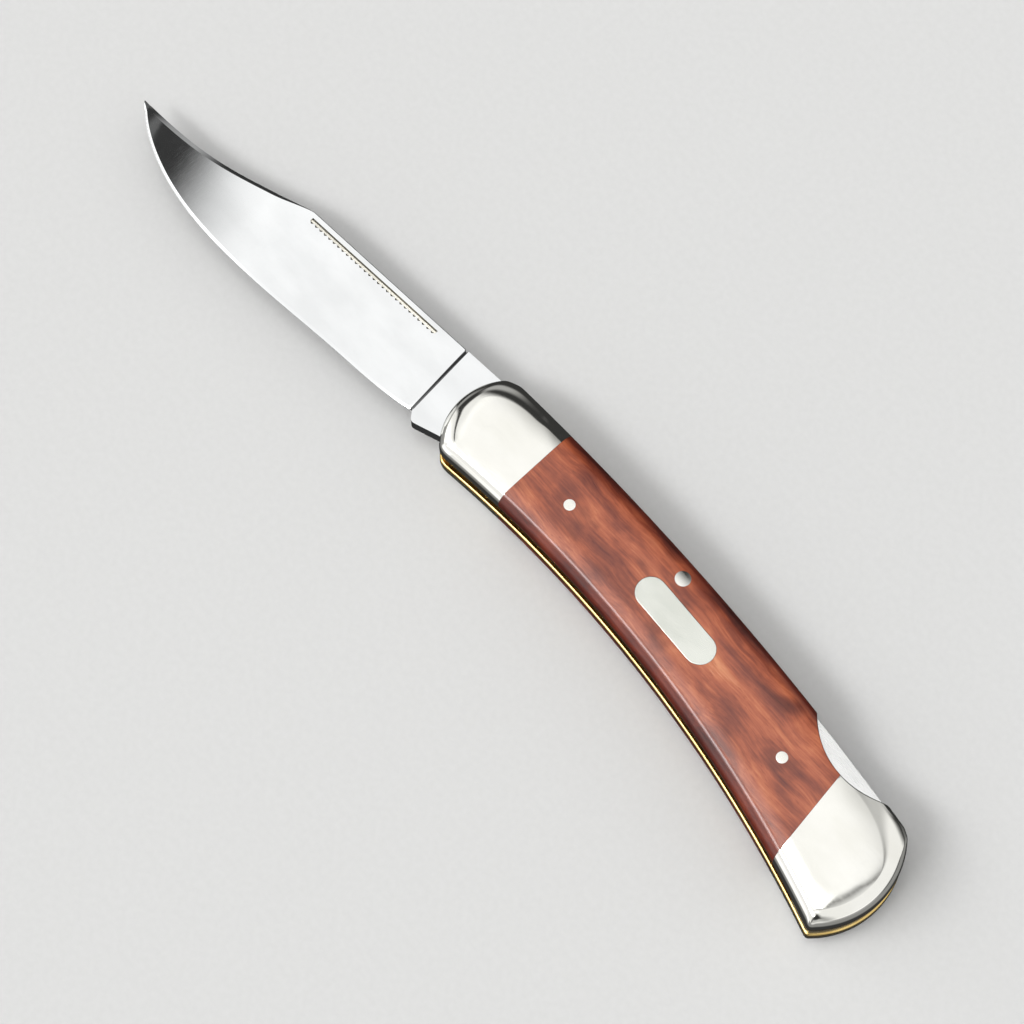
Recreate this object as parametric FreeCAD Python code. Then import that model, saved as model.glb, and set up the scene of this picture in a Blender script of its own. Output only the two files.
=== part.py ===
import FreeCAD, Part
import os
from math import sqrt

# Folding lockback pocket knife, lying on its side with the blade open.
# Millimetres: X runs from the blade to the butt, Y from the belly to the back, Z through the thickness.
# The origin is the axis of the blade's pivot, on the outer face of the lower bolster.

# Handle, overall
handle_length = 118.2
handle_height = 19.2
rim_radius = 3.0
nose_corner_radius = 3.3
overrun = 5.0

# Layers, from the lower face upwards: scale, liner, slot, liner, scale
scale_thickness = 3.9
liner_thickness = 1.0
blade_thickness = 3.0
side_clearance = 0.1

# Pins and rivets
pivot_radius = 2.0
lock_pin_radius = 1.5
scale_pin_radius = 1.1
rivet_radius = 1.1
rivet_grip = 2.4
running_clearance = 0.05

# Shield let into the upper scale
shield_length = 19.6
shield_width = 6.0
shield_thickness = 0.8
shield_tilt = -1.5
shield_pin_radius = 0.6
shield_pin_spacing = 11.0

# Blade: depth at the heel, grind and edge
blade_depth = 16.0
tip_clearance = 1.9
heel_half_thickness = 1.3
tip_half_thickness = 0.3
edge_half_thickness = 0.28
edge_bevel = 1.1
spine_break = 0.15
swedge_depth = 0.9
swedge_run = 6.0
plunge_groove_radius = 0.42
kick_radius = 1.0
blade_stations = 22

# Striker pull, a shallow slot with a toothed lower side
pull_drop = 1.05
pull_height = 1.1
pull_depth = 0.45
pull_tooth_depth = 0.45
pull_teeth = 28

# Tang and back lock
tang_radius = 5.0
tang_flat_distance = 4.25
tang_flat_angle = -40.5
shoulder_reach = 7.0
shoulder_slant = 0.45
hook_length = 4.0
hook_gap = 0.2
hook_face_gap = 0.15
notch_depth = 1.0
notch_clearance = 0.2
bar_height = 5.2
bar_boss_radius = 3.0
bar_end_gap = 0.4

# Lock spring and rear spacer
spring_thickness = 0.9
spring_gap = 0.1
spring_sag = 0.5
spring_root_length = 6.2
spring_root_height = 3.4
spring_root_drop = 2.4

# Places in the handle as shares of its length and height, measured from the pivot
handle_shares = {
    "front_top": (-0.0533, 0.5833),
    "nose": (-0.0842, 0.0938),
    "front_bottom": (-0.0381, -0.4323),
    "belly_crest": (0.2843, -0.2969),
    "butt_bottom": (0.8883, -0.8203),
    "butt_end": (0.9264, -0.2396),
    "butt_top": (0.8739, 0.4740),
    "back_crest": (0.2792, 0.6641),
    "scallop_front": (0.6531, 0.5729),
    "scallop_low": (0.7276, 0.3411),
    "scallop_rear": (0.8223, 0.4792),
    "front_joint_back": (0.0753, 0.6250),
    "front_joint_belly": (0.0871, -0.4167),
    "rear_joint_back": (0.7470, 0.3542),
    "rear_joint_belly": (0.7792, -0.6875),
    "front_pin": (0.1635, 0.1318),
    "rear_pin": (0.6718, 0.0286),
    "lock_pin": (0.3646, 0.4688),
    "shield": (0.4078, 0.1458),
    "front_rivet_back": (0.0381, 0.3646),
    "front_rivet_belly": (0.0440, -0.2083),
    "rear_rivet_belly": (0.8629, -0.4948),
}
spacer_front_share = 0.8359
spring_tip_share = 0.6514

# The four arcs of the handle's outline, each by its start, a place on it and its end
outline_arcs = [
    ("front_top", "nose", "front_bottom"),
    ("front_bottom", "belly_crest", "butt_bottom"),
    ("butt_bottom", "butt_end", "butt_top"),
    ("butt_top", "back_crest", "front_top"),
]

# Edge of the blade from the heel to the tip, as shares of the blade's reach and depth
edge_shares = [
    (-0.1507, -0.3563),
    (-0.1672, -0.4031),
    (-0.1899, -0.4438),
    (-0.3447, -0.5813),
    (-0.4995, -0.7094),
    (-0.6543, -0.8000),
    (-0.7884, -0.7850),
    (-0.9050, -0.6230),
    (-0.9670, -0.4400),
    (-1.0000, -0.3050),
]

# Clip from the end of the straight spine to the tip, in the same shares
clip_shares = [
    (-0.5934, 0.3187),
    (-0.6750, 0.1375),
    (-0.7781, -0.0840),
    (-0.8875, -0.2290),
    (-1.0000, -0.2840),
]

# Ricasso in the same shares, and the ends of the pull as shares of the reach
blade_shares = {
    "plunge_spine": (-0.1796, 0.5625),
    "plunge_edge": (-0.1569, -0.3750),
    "kick": (-0.1362, -0.5000),
    "tang_belly": (-0.0310, -0.2500),
}
pull_front_share = -0.5850
pull_rear_share = -0.2466

# Levels of the layers
slot_width = blade_thickness + 2 * side_clearance
slot_floor = scale_thickness + liner_thickness
slot_roof = slot_floor + slot_width
upper_scale_floor = slot_roof + liner_thickness
handle_thickness = upper_scale_floor + scale_thickness
middle = handle_thickness / 2
blade_floor = slot_floor + side_clearance
blade_roof = blade_floor + blade_thickness


def point(x, y, z=0.0):
    return FreeCAD.Vector(x, y, z)


def handle_place(name):
    along, across = handle_shares[name]
    return point(along * handle_length, across * handle_height)


spacer_front = spacer_front_share * handle_length
tip_reach = spacer_front - tip_clearance


def blade_place(shares):
    along, across = shares
    return point(along * tip_reach, across * blade_depth)


def line(start, end):
    return Part.makeLine(start, end)


def arc(start, through, end):
    return Part.Arc(start, through, end).toShape()


def prism(edges, floor, roof):
    face = Part.Face(Part.Wire(Part.__sortEdges__(edges)))
    solid = face.extrude(point(0, 0, roof - floor))
    solid.translate(point(0, 0, floor))
    return solid


def polygon_prism(corners, floor, roof):
    wire = Part.makePolygon(corners + corners[:1])
    return prism(wire.Edges, floor, roof)


def pin(centre, radius, floor, roof):
    return Part.makeCylinder(radius, roof - floor, point(centre.x, centre.y, floor))


def circle_height(circle, x, side):
    return circle.Center.y + side * sqrt(circle.Radius ** 2 - (x - circle.Center.x) ** 2)


def upright_edges_near(solid, place, reach):
    found = []
    for edge in solid.Edges:
        ends = [vertex.Point for vertex in edge.Vertexes]
        if len(ends) < 2 or abs(ends[0].z - ends[1].z) < reach:
            continue
        if all(sqrt((end.x - place.x) ** 2 + (end.y - place.y) ** 2) < reach for end in ends):
            found.append(edge)
    return found


level_tolerance_share = 1e-6


def edges_at_level(solid, level):
    tolerance = solid.BoundBox.DiagonalLength * level_tolerance_share
    found = []
    for edge in solid.Edges:
        box = edge.BoundBox
        if abs(box.ZMin - level) < tolerance and abs(box.ZMax - level) < tolerance:
            found.append(edge)
    return found


# Outline of the handle: four arcs, with the corner between back and nose rounded
def handle_prism(floor, roof):
    arcs = []
    for names in outline_arcs:
        start, through, end = [handle_place(name) for name in names]
        arcs.append(arc(start, through, end))
    solid = prism(arcs, floor, roof)
    corner = upright_edges_near(solid, handle_place("front_top"), nose_corner_radius / 2)
    return solid.makeFillet(nose_corner_radius, corner)


back_circle = Part.Circle(handle_place("butt_top"), handle_place("back_crest"), handle_place("front_top"))


def back_height(x):
    return circle_height(back_circle, x, 1)


# Thumb scallop across the back, over the tail of the lock bar, milled by a large round cutter
scallop_circle = Part.Circle(
    handle_place("scallop_front"), handle_place("scallop_low"), handle_place("scallop_rear")
)


# Half planes that part the bolsters from the scale
def joint_side(name, forward):
    back = handle_place(name + "_joint_back")
    belly = handle_place(name + "_joint_belly")
    slope = (belly.x - back.x) / (belly.y - back.y)
    high = point(back.x + slope * (handle_height - back.y), handle_height)
    low = point(back.x - slope * (handle_height + back.y), -handle_height)
    reach = -handle_length if forward else 2 * handle_length
    corners = [low, high, point(reach, handle_height), point(reach, -handle_height)]
    return polygon_prism(corners, -overrun, handle_thickness + overrun)


envelope_block = handle_prism(0.0, handle_thickness)
rims = edges_at_level(envelope_block, 0.0) + edges_at_level(envelope_block, handle_thickness)
envelope = envelope_block.makeFillet(rim_radius, rims)
scallop_cutter = pin(scallop_circle.Center, scallop_circle.Radius, -overrun, handle_thickness + overrun)
grip = envelope.cut(scallop_cutter)


def layer(solid, floor, roof):
    size = 4 * handle_length
    slab = Part.makeBox(size, size, roof - floor, point(-size / 2, -size / 2, floor))
    return solid.common(slab)


# Through pins, ground flush with the outer faces
pivot_centre = point(0.0, 0.0)
lock_centre = handle_place("lock_pin")
spring_root_level = -spring_root_drop
spring_root_centre = point(
    spacer_front + spring_root_length / 2, spring_root_level + spring_root_height / 2
)
rear_rivet_centres = [spring_root_centre, handle_place("rear_rivet_belly")]
front_rivet_centres = [handle_place("front_rivet_back"), handle_place("front_rivet_belly")]


def flush_pin(centre, radius):
    return pin(centre, radius, -overrun, handle_thickness + overrun).common(envelope)


pivot_pin = flush_pin(pivot_centre, pivot_radius)
lock_bar_pin = flush_pin(lock_centre, lock_pin_radius)
rear_rivets = Part.makeCompound([flush_pin(centre, rivet_radius) for centre in rear_rivet_centres])
through_pins = [pivot_pin, lock_bar_pin] + rear_rivets.Solids


# Short pins and rivets that stop at the inner face of a liner, clear of the folded blade
def side_pins(centres, radius, height):
    upper = [pin(centre, radius, slot_roof, upper_scale_floor + height) for centre in centres]
    lower = [pin(centre, radius, scale_thickness - height, slot_floor) for centre in centres]
    return upper, lower


front_pins = side_pins([handle_place("front_pin")], scale_pin_radius, scale_thickness)
rear_pins = side_pins([handle_place("rear_pin")], scale_pin_radius, scale_thickness)
front_rivets = side_pins(front_rivet_centres, rivet_radius, rivet_grip)
side_fixings = []
for upper_pins, lower_pins in (front_pins, rear_pins, front_rivets):
    side_fixings += upper_pins + lower_pins


# Shield with two full round ends, and the pins that hold it
def shield_solid(floor, roof):
    centre = handle_place("shield")
    half = shield_length / 2
    end = shield_width / 2
    straight = half - end
    edges = [
        line(point(-straight, end), point(straight, end)),
        arc(point(straight, end), point(half, 0), point(straight, -end)),
        line(point(straight, -end), point(-straight, -end)),
        arc(point(-straight, -end), point(-half, 0), point(-straight, end)),
    ]
    solid = prism(edges, floor, roof)
    solid.rotate(point(0, 0), point(0, 0, 1), shield_tilt)
    solid.translate(centre)
    return solid


shield_floor = handle_thickness - shield_thickness
shield = shield_solid(shield_floor, handle_thickness)


def shield_pin_solids():
    solids = []
    for side in (-1, 1):
        start = point(side * shield_pin_spacing / 2, 0, upper_scale_floor)
        solid = Part.makeCylinder(shield_pin_radius, shield_floor - upper_scale_floor, start)
        solid.rotate(point(0, 0), point(0, 0, 1), shield_tilt)
        solid.translate(handle_place("shield"))
        solids.append(solid)
    return solids


shield_pins = Part.makeCompound(shield_pin_solids())


# One side of the handle: front bolster, scale and rear bolster cut from one rounded block
def handle_side(floor, roof, inlays):
    block = layer(grip, floor, roof).cut(through_pins + side_fixings + inlays)
    front = block.common(joint_side("front", True))
    rear = block.common(joint_side("rear", False))
    scale = block.cut([joint_side("front", True), joint_side("rear", False)])
    return front, scale, rear


shield_inlays = [shield] + shield_pins.Solids
front_bolster_upper, scale_upper, rear_bolster_upper = handle_side(
    upper_scale_floor, handle_thickness, shield_inlays
)
front_bolster_lower, scale_lower, rear_bolster_lower = handle_side(0.0, scale_thickness, [])


# Brass liners, with the outline of the grip
liner_upper = layer(grip, slot_roof, upper_scale_floor).cut(through_pins + side_fixings)
liner_lower = layer(grip, scale_thickness, slot_floor).cut(through_pins + side_fixings)


# Lock bar: a rocker flush with the back, with a boss at its pin and a hook over the tang
hook_front = -(shoulder_reach - hook_face_gap)
hook_rear = hook_front + hook_length
hook_level = sqrt((tang_radius + hook_gap) ** 2 - hook_rear ** 2)
bar_end = spacer_front - bar_end_gap
under_circle = Part.Circle(back_circle.Center, back_circle.Axis, back_circle.Radius - bar_height)


def under_height(x):
    return circle_height(under_circle, x, 1)


def lock_bar_solid():
    crest = (hook_rear + bar_end) / 2
    top = back_height(crest) + overrun
    corners_top = [point(hook_front, top), point(bar_end, top)]
    under = arc(
        point(bar_end, under_height(bar_end)),
        point(crest, under_height(crest)),
        point(hook_rear, under_height(hook_rear)),
    )
    heel = point(hook_rear, hook_level)
    toe = point(hook_front + shoulder_slant, hook_level)
    edges = [
        line(corners_top[0], corners_top[1]),
        line(corners_top[1], point(bar_end, under_height(bar_end))),
        under,
        line(point(hook_rear, under_height(hook_rear)), heel),
        line(heel, toe),
        line(toe, point(hook_front, back_height(hook_front))),
        line(point(hook_front, back_height(hook_front)), corners_top[0]),
    ]
    bar = prism(edges, blade_floor, blade_roof)
    bar = bar.fuse(pin(lock_centre, bar_boss_radius, blade_floor, blade_roof))
    bar = bar.common(envelope_block)
    hole_radius = lock_pin_radius + running_clearance
    hole = pin(lock_centre, hole_radius, blade_floor - overrun, blade_roof + overrun)
    return bar.cut(hole).removeSplitter()


lock_bar = lock_bar_solid()


# Rear spacer between the liners, slotted for the root of the spring
def spring_root_box(floor, height):
    corner = point(spacer_front, spring_root_level, floor)
    return Part.makeBox(spring_root_length, spring_root_height, height, corner)


def rear_spacer_solid():
    corner = point(spacer_front, -2 * handle_height, slot_floor)
    rear = Part.makeBox(handle_length, 4 * handle_height, slot_width, corner)
    root_slot = spring_root_box(slot_floor, slot_width)
    return envelope_block.common(rear).cut([root_slot] + rear_rivets.Solids)


rear_spacer = rear_spacer_solid()


# Leaf spring, rooted in the spacer, its tip under the tail of the lock bar
def lock_spring_solid():
    tip_x = spring_tip_share * handle_length
    tip_y = under_height(tip_x) - spring_gap
    root_x = spacer_front
    root_y = spring_root_level + spring_root_height
    middle_x = (tip_x + root_x) / 2
    middle_y = (tip_y + root_y) / 2 - spring_sag
    drop = spring_thickness
    edges = [
        arc(point(tip_x, tip_y), point(middle_x, middle_y), point(root_x, root_y)),
        line(point(root_x, root_y), point(root_x, root_y - drop)),
        arc(point(root_x, root_y - drop), point(middle_x, middle_y - drop), point(tip_x, tip_y - drop)),
        line(point(tip_x, tip_y - drop), point(tip_x, tip_y)),
    ]
    leaf = prism(edges, blade_floor, blade_roof)
    root = spring_root_box(blade_floor, blade_thickness)
    return leaf.fuse(root).cut(rear_rivets.Solids).removeSplitter()


lock_spring = lock_spring_solid()


# Ground part of the blade: sections from spine to edge, joined into one smooth body
plunge_spine = blade_place(blade_shares["plunge_spine"])
plunge_edge = blade_place(blade_shares["plunge_edge"])
clip_start = blade_place(clip_shares[0])
clip_tip = blade_place(clip_shares[-1])
spine_slope = (plunge_spine.y - clip_start.y) / (plunge_spine.x - clip_start.x)


def smooth_curve(all_shares):
    curve = Part.BSplineCurve()
    curve.interpolate([blade_place(shares) for shares in all_shares])
    return curve


clip_curve = smooth_curve(clip_shares)
edge_curve = smooth_curve(edge_shares)


def spine_height(x):
    if x > clip_start.x:
        return clip_start.y + spine_slope * (x - clip_start.x)
    if x <= clip_tip.x:
        return clip_tip.y
    upright = Part.LineSegment(point(x, -blade_depth), point(x, blade_depth))
    crossing = clip_curve.intersectCC(upright)[0]
    return crossing.Y


def fraction(x, start, end):
    return min(max((x - start) / (end - start), 0.0), 1.0)


def spine_half(x):
    along = fraction(x, plunge_spine.x, clip_tip.x)
    return heel_half_thickness + along * (tip_half_thickness - heel_half_thickness)


# Shares of the section's depth that the bevel and the swedge may take near the tip
bevel_limit_share = 0.35
swedge_limit_share = 0.3
swedge_top_share = 0.35


def blade_section(x, edge_y):
    spine_y = spine_height(x)
    depth = spine_y - edge_y
    along = fraction(x, clip_start.x, clip_start.x - swedge_run)
    bevel = min(edge_bevel, bevel_limit_share * depth)
    swedge = min(spine_break + along * (swedge_depth - spine_break), swedge_limit_share * depth)
    wide = spine_half(x)
    narrow = wide - spine_break + along * (swedge_top_share * wide - wide + spine_break)
    behind_edge = min(edge_half_thickness, wide)
    side = [
        point(x, edge_y + bevel, behind_edge),
        point(x, spine_y - swedge, wide),
        point(x, spine_y, narrow),
    ]
    other = [point(corner.x, corner.y, -corner.z) for corner in reversed(side)]
    corners = [point(x, edge_y, 0.0)] + side + other
    wire = Part.makePolygon(corners + corners[:1])
    wire.translate(point(0, 0, middle))
    return wire


def ground_blade():
    first = edge_curve.FirstParameter
    sections = []
    for station in range(blade_stations):
        along = station / (blade_stations - 1)
        edge = edge_curve.value(first + along * (edge_curve.LastParameter - first))
        sections.append(blade_section(edge.x, edge.y))
    return Part.makeLoft(sections, True, False)


# Ricasso and tang: full thickness, with the lock notch and the flat of the closed position
def tang_solid():
    notch_level = hook_level - notch_depth
    notch_rear = hook_rear + notch_clearance
    shoulder_top = point(-shoulder_reach, spine_height(-shoulder_reach))
    shoulder_low = point(-shoulder_reach + shoulder_slant, notch_level)
    notch_corner = point(notch_rear, notch_level)
    notch_rim = point(notch_rear, sqrt(tang_radius ** 2 - notch_rear ** 2))
    tang_belly = blade_place(blade_shares["tang_belly"])
    belly_rim = point(tang_belly.x, -sqrt(tang_radius ** 2 - tang_belly.x ** 2))
    kick = blade_place(blade_shares["kick"])
    edges = [
        line(plunge_spine, shoulder_top),
        line(shoulder_top, shoulder_low),
        line(shoulder_low, notch_corner),
        line(notch_corner, notch_rim),
        arc(notch_rim, point(tang_radius, 0), belly_rim),
        line(belly_rim, kick),
        line(kick, plunge_edge),
        line(plunge_edge, plunge_spine),
    ]
    tang = prism(edges, blade_floor, blade_roof)
    tang = tang.makeFillet(kick_radius, upright_edges_near(tang, kick, kick_radius / 2))
    corner = point(tang_flat_distance, -2 * tang_radius, -middle)
    flat = Part.makeBox(tang_radius, 4 * tang_radius, 2 * handle_thickness, corner)
    flat.rotate(point(0, 0), point(0, 0, 1), tang_flat_angle)
    return tang.cut(flat)


# Groove along the plunge line on both sides, and the notch that it leaves in the spine
def plunge_cuts():
    run = plunge_spine - plunge_edge
    depth_share = overrun / run.Length
    cuts = []
    for side in (-1, 1):
        low = point(plunge_edge.x, plunge_edge.y, middle + side * edge_half_thickness)
        high = point(plunge_spine.x, plunge_spine.y, middle + side * heel_half_thickness)
        start = low - (high - low) * depth_share
        reach = (high - low) * (1 + 2 * depth_share)
        cuts.append(Part.makeCylinder(plunge_groove_radius, reach.Length, start, reach))
    cuts.append(pin(plunge_spine, plunge_groove_radius, blade_floor - overrun, blade_roof + overrun))
    return cuts


# Striker pull: straight towards the spine, toothed towards the edge
def pull_cut():
    front_x = pull_front_share * tip_reach
    rear_x = pull_rear_share * tip_reach
    pitch = (rear_x - front_x) / pull_teeth
    upper = [point(x, spine_height(x) - pull_drop) for x in (rear_x, front_x)]
    lower = []
    for tooth in range(pull_teeth):
        root_x = front_x + tooth * pitch
        point_x = root_x + pitch / 2
        lower.append(point(root_x, spine_height(root_x) - pull_drop - pull_height + pull_tooth_depth))
        lower.append(point(point_x, spine_height(point_x) - pull_drop - pull_height))
    lower.append(point(rear_x, spine_height(rear_x) - pull_drop - pull_height + pull_tooth_depth))
    middle_half = spine_half((front_x + rear_x) / 2)
    return polygon_prism(upper + lower, middle + middle_half - pull_depth, blade_roof + overrun)


def blade_solid():
    hole_radius = pivot_radius + running_clearance
    hole = pin(pivot_centre, hole_radius, blade_floor - overrun, blade_roof + overrun)
    whole = ground_blade().fuse(tang_solid())
    return whole.cut(plunge_cuts() + [pull_cut(), hole]).removeSplitter()


blade = blade_solid()

pieces = {
    "blade": blade,
    "lock_bar": lock_bar,
    "lock_spring": lock_spring,
    "rear_spacer": rear_spacer,
    "pivot_pin": pivot_pin,
    "lock_bar_pin": lock_bar_pin,
    "rear_rivets": rear_rivets,
    "liner_upper": liner_upper,
    "liner_lower": liner_lower,
    "front_bolster_upper": front_bolster_upper,
    "front_bolster_lower": front_bolster_lower,
    "scale_upper": scale_upper,
    "scale_lower": scale_lower,
    "rear_bolster_upper": rear_bolster_upper,
    "rear_bolster_lower": rear_bolster_lower,
    "shield": shield,
    "shield_pins": shield_pins,
    "scale_pin_front_upper": front_pins[0][0],
    "scale_pin_front_lower": front_pins[1][0],
    "scale_pin_rear_upper": rear_pins[0][0],
    "scale_pin_rear_lower": rear_pins[1][0],
    "front_bolster_rivets_upper": Part.makeCompound(front_rivets[0]),
    "front_bolster_rivets_lower": Part.makeCompound(front_rivets[1]),
}

os.makedirs("parts", exist_ok=True)
for name, shape in pieces.items():
    shape.exportStep(os.path.join("parts", name + ".step"))
    print(name, len(shape.Solids), round(shape.Volume, 2), shape.isValid())
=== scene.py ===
import math

import bpy
import numpy as np
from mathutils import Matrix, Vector
from mathutils.geometry import delaunay_2d_cdt


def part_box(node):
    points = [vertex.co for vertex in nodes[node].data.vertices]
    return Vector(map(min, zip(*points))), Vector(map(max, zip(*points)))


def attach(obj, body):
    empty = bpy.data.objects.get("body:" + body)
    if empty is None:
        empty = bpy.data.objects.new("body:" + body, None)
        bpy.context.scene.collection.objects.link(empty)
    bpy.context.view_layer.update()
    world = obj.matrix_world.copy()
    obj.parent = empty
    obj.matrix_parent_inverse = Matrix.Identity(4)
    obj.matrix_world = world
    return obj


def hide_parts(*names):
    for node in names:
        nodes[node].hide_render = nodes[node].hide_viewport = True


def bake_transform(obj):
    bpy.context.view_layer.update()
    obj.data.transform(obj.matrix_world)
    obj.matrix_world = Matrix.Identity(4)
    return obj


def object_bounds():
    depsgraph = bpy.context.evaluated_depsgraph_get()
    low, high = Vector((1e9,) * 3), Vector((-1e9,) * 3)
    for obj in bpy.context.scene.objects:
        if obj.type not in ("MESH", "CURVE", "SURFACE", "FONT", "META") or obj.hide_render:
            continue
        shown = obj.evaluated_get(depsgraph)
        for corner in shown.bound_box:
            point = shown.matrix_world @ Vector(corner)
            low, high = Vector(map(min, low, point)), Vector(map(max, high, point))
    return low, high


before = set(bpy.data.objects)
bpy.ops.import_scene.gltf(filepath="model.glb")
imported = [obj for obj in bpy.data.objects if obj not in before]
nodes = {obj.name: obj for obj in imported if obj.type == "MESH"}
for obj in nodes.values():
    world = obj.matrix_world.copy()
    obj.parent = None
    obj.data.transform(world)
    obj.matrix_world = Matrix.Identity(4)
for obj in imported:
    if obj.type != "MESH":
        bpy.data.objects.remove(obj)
cad_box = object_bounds()


# Brass liners: two flat plates that carry the whole knife, one each side of the blade's slot.
# They are blanked from rolled brass sheet, pinned and riveted between slot and scales,
# and their edges are rounded and polished together with the rest of the handle.
handle_length = 0.1182
handle_height = 0.0192
handle_shares = {
    "front_top": (-0.0533, 0.5833),
    "nose": (-0.0842, 0.0938),
    "front_bottom": (-0.0381, -0.4323),
    "belly_crest": (0.2843, -0.2969),
    "butt_bottom": (0.8883, -0.8203),
    "butt_end": (0.9264, -0.2396),
    "butt_top": (0.8739, 0.4740),
    "back_crest": (0.2792, 0.6641),
    "scallop_front": (0.6531, 0.5729),
    "scallop_low": (0.7276, 0.3411),
    "scallop_rear": (0.8223, 0.4792),
    "front_joint_back": (0.0753, 0.6250),
    "front_joint_belly": (0.0871, -0.4167),
    "rear_joint_back": (0.7470, 0.3542),
    "rear_joint_belly": (0.7792, -0.6875),
    "grip_middle": (0.4000, 0.1000),
}

# How far in from each part of the outline the handle's face starts to fall
rim_runs = {"nose": 0.0062, "back": 0.0062, "belly": 0.0046, "butt": 0.0058}

# How softly neighbouring stretches of the outline run into each other, as shares of the rim's run,
# and how much softer the corners grow on their way in
nose_corner_share = 0.22
belly_corner_share = 0.20
butt_corner_share = 0.10
nose_growth_share = 1.2
butt_growth_share = 1.7
heel_growth_share = 0.6
end_fade = 0.002

# Working limits: what counts as one place, the step that slopes are felt over, the steps along a loop,
# how far a mitre may reach, which turns stay smooth, what lies near enough to the outline to be ground,
# and in how many rounds a spot settles
same_place = 1e-7
slope_step = 1e-7
shortest_step = 0.00008
longest_step = 0.0007
sharpest_mitre = 0.4
gentle_turn = math.radians(35)
ground_share = 0.02
settle_rounds = 20


def handle_place(name):
    along, across = handle_shares[name]
    return np.array((along * handle_length, across * handle_height))


# Centre and radius of the circle through three places on the handle
def circle_through(names):
    a, b, c = (handle_place(name) for name in names)
    matrix = 2 * np.array((b - a, c - a))
    centre = np.linalg.solve(matrix, np.array((b @ b - a @ a, c @ c - a @ a)))
    return centre, np.linalg.norm(a - centre)


outline_arcs = {
    "nose": ("front_top", "nose", "front_bottom"),
    "belly": ("front_bottom", "belly_crest", "butt_bottom"),
    "butt": ("butt_bottom", "butt_end", "butt_top"),
    "back": ("butt_top", "back_crest", "front_top"),
}
outline_circles = {name: circle_through(places) for name, places in outline_arcs.items()}


def eased(share):
    return share ** 2 * (3 - 2 * share)


# The lesser of two values, with the corner between them rounded over the given width
def soft_least(first, second, width):
    blend = np.clip(0.5 + 0.5 * (second - first) / width, 0, 1)
    return second + (first - second) * blend - width * blend * (1 - blend)


# Inset from one of the two long arcs, and from one of the two short arcs that close the ends
def long_arc_inset(spots, name):
    centre, radius = outline_circles[name]
    inner_side = np.sign(radius - np.linalg.norm(handle_place("grip_middle") - centre))
    return inner_side * (radius - np.linalg.norm(spots - centre, axis=-1)) / rim_runs[name]


def end_arc_inset(spots, name):
    centre, radius = outline_circles[name]
    way = handle_place(outline_arcs[name][1]) - centre
    way /= np.linalg.norm(way)
    out = (spots - centre) @ way
    aside = (spots - centre) @ np.array((-way[1], way[0]))
    behind = np.hypot(np.minimum(out, 0), end_fade) - end_fade
    narrowed = np.abs(aside) * np.clip(1 - behind / radius, 0, 1) - behind
    reach = np.where(out > 0, np.hypot(out, aside), narrowed)
    return (radius - reach) / rim_runs[name]


# Inset of a spot from the rounded outline, as a share of the rim's run: 0 on the outline, 1 on the flat
def rim_share(spots):
    nose, butt = (end_arc_inset(spots, name) for name in ("nose", "butt"))
    back, belly = (long_arc_inset(spots, name) for name in ("back", "belly"))

    def growth(first, second):
        first, second = np.maximum(first, same_place), np.maximum(second, same_place)
        return 2 * first * second / (first + second)

    front = soft_least(nose, back, nose_corner_share + nose_growth_share * growth(nose, back))
    front = soft_least(front, belly, belly_corner_share)
    nearer_back = eased(np.clip(0.5 + (belly - back) / 2, 0, 1))
    growth_share = heel_growth_share + nearer_back * (butt_growth_share - heel_growth_share)
    return soft_least(front, butt, butt_corner_share + growth_share * growth(front, butt))


# How fast a field climbs at each spot, along the handle and across it
def slope_of(field, spots):
    along = np.array((slope_step, 0.0))
    across = np.array((0.0, slope_step))
    climbs = [field(spots + step) - field(spots - step) for step in (along, across)]
    return np.stack(climbs, axis=-1) / (2 * slope_step)


# Moves spots up or down the rim until their inset has the wanted share
def settle(spots, share):
    for _ in range(settle_rounds):
        slope = slope_of(rim_share, spots)
        steep = np.linalg.norm(slope, axis=-1)
        step = np.clip((share - rim_share(spots)) / steep, -longest_step, longest_step)
        spots = spots + (step / steep)[:, None] * slope
    return spots


# Loops of edges round the flat upper face of a piece, with the material to the left of each loop
def face_loops(node):
    mesh = nodes[node].data
    mesh.calc_loop_triangles()
    spots = np.array([vertex.co for vertex in mesh.vertices])
    roof = spots[:, 2].max()
    edges = {}
    for triangle in mesh.loop_triangles:
        corners = [spots[corner] for corner in triangle.vertices]
        if min(corner[2] for corner in corners) < roof - same_place:
            continue
        keys = [tuple(int(round(value / same_place)) for value in corner[:2]) for corner in corners]
        for start, end in zip(keys, keys[1:] + keys[:1]):
            if (end, start) in edges:
                del edges[(end, start)]
            else:
                edges[(start, end)] = True
    following = {start: end for start, end in edges}
    loops = []
    while following:
        start, place = following.popitem()
        loop = [start]
        while place != start:
            loop.append(place)
            place = following.pop(place)
        loops.append(np.array(loop) * same_place)
    return loops


# Points along a loop, none closer than the shortest step and no gap wider than the longest
def evened(loop, shortest, longest):
    kept = [loop[0]]
    for place in loop[1:]:
        gap = np.linalg.norm(place - kept[-1])
        if gap < shortest:
            continue
        parts = max(1, math.ceil(gap / longest))
        kept += [kept[-1] + (place - kept[-1]) * part / parts for part in range(1, parts + 1)]
    if np.linalg.norm(kept[-1] - kept[0]) < shortest:
        kept.pop()
    return np.array(kept)


# A loop with what reaches the handle's outline ground level with it, or set back by a share of the rim
def ground_level(loop, set_back=0.0):
    loop = evened(loop, shortest_step, longest_step)
    outer = rim_share(loop) < set_back + ground_share
    loop[outer] = settle(loop[outer], set_back)
    return evened(loop, shortest_step, longest_step)


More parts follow.
